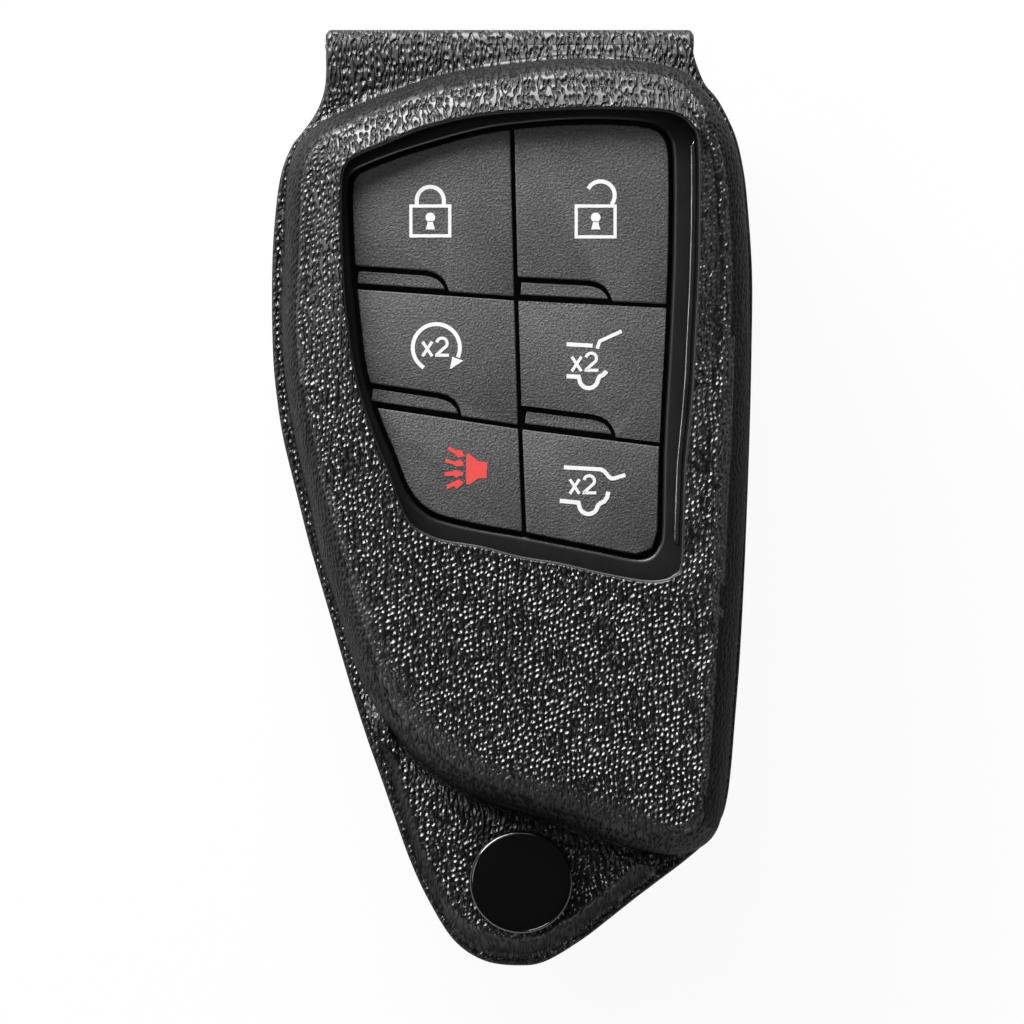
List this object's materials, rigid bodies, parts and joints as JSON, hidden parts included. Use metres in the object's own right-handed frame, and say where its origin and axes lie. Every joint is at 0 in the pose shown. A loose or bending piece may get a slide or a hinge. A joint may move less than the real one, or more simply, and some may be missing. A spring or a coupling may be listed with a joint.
{
  "type": "key fob cover",
  "caption": "Moulded black leather cover folded over a car key fob, with a button window, a snap tab at the foot and the fob inside.",
  "frame": {"origin": "under the middle of the flat back, at the lowest point", "axes": "+Y from the snap tab to the fold, +Z from the flat back towards the buttons, +X to the right seen from the front"},
  "size_m": [0.0466, 0.0908, 0.0167],
  "materials": {
    "leather": "pebbled black, semi-gloss",
    "cap_enamel": "gloss black",
    "snap_metal": "black nickel, satin",
    "spring_metal": "bright wire",
    "fob_plastic": "satin",
    "rear_plastic": "fine texture",
    "trim_chrome": "polished",
    "button_plastic": "matte, fine texture",
    "mat_rubber": "matte",
    "board_laminate": "solder mask",
    "switch_metal": "satin",
    "plunger_plastic": "matte",
    "cell_steel": "brushed",
    "contact_brass": "satin",
    "aerial_ferrite": "wound enamelled wire over ferrite",
    "chip_resin": "matte",
    "key_steel": "brushed",
    "key_plastic": "matte"
  },
  "bodies": {
    "back_cover": {"back_shell": "leather", "snap_stud": "snap_metal", "snap_rivet": "snap_metal", "fold_strip": "leather"},
    "front_cover": {"front_shell": "leather", "snap_cap": "cap_enamel", "snap_socket": "snap_metal", "snap_spring": "spring_metal", "front_housing": "fob_plastic", "rear_housing": "rear_plastic", "trim_strip": "trim_chrome", "keypad_mat": "mat_rubber", "circuit_board": "board_laminate", "switch_bases": "switch_metal", "coin_cell": "cell_steel", "minus_contact": "contact_brass", "plus_contact": "contact_brass", "aerial_coil": "aerial_ferrite", "control_chip": "chip_resin", "radio_chip": "chip_resin", "key_blade": "key_steel", "key_grip": "key_plastic", "latch_spring": "spring_metal"},
    "lock_key": {"lock_button": "button_plastic", "lock_plunger": "plunger_plastic"},
    "unlock_key": {"unlock_button": "button_plastic", "unlock_plunger": "plunger_plastic"},
    "start_key": {"start_button": "button_plastic", "start_plunger": "plunger_plastic"},
    "glass_key": {"glass_button": "button_plastic", "glass_plunger": "plunger_plastic"},
    "panic_key": {"panic_button": "button_plastic", "panic_plunger": "plunger_plastic"},
    "liftgate_key": {"liftgate_button": "button_plastic", "liftgate_plunger": "plunger_plastic"},
    "latch": {"key_latch": "key_plastic"}
  },
  "joints": [
    {"name": "cover_fold", "type": "hinge", "parent": "back_cover", "child": "front_cover", "pos_m": [0, 0.0454, 0.007], "axis": [-1, 0, 0], "range_deg": [0, 140], "deforming": ["fold_strip", "snap_spring"]},
    {"name": "lock_press", "type": "slide", "parent": "front_cover", "child": "lock_key", "axis": [0, 0, -1], "range_m": [0, 0.0004], "stiffness_N_per_m": 800, "deforming": ["keypad_mat"]},
    {"name": "unlock_press", "type": "slide", "parent": "front_cover", "child": "unlock_key", "axis": [0, 0, -1], "range_m": [0, 0.0004], "stiffness_N_per_m": 800, "deforming": ["keypad_mat"]},
    {"name": "start_press", "type": "slide", "parent": "front_cover", "child": "start_key", "axis": [0, 0, -1], "range_m": [0, 0.0004], "stiffness_N_per_m": 800, "deforming": ["keypad_mat"]},
    {"name": "glass_press", "type": "slide", "parent": "front_cover", "child": "glass_key", "axis": [0, 0, -1], "range_m": [0, 0.0004], "stiffness_N_per_m": 800, "deforming": ["keypad_mat"]},
    {"name": "panic_press", "type": "slide", "parent": "front_cover", "child": "panic_key", "axis": [0, 0, -1], "range_m": [0, 0.0004], "stiffness_N_per_m": 800, "deforming": ["keypad_mat"]},
    {"name": "liftgate_press", "type": "slide", "parent": "front_cover", "child": "liftgate_key", "axis": [0, 0, -1], "range_m": [0, 0.0004], "stiffness_N_per_m": 800, "deforming": ["keypad_mat"]},
    {"name": "latch_slide", "type": "slide", "parent": "front_cover", "child": "latch", "axis": [-1, 0, 0], "range_m": [0, 0.0015], "stiffness_N_per_m": 400, "deforming": ["latch_spring"]}
  ]
}
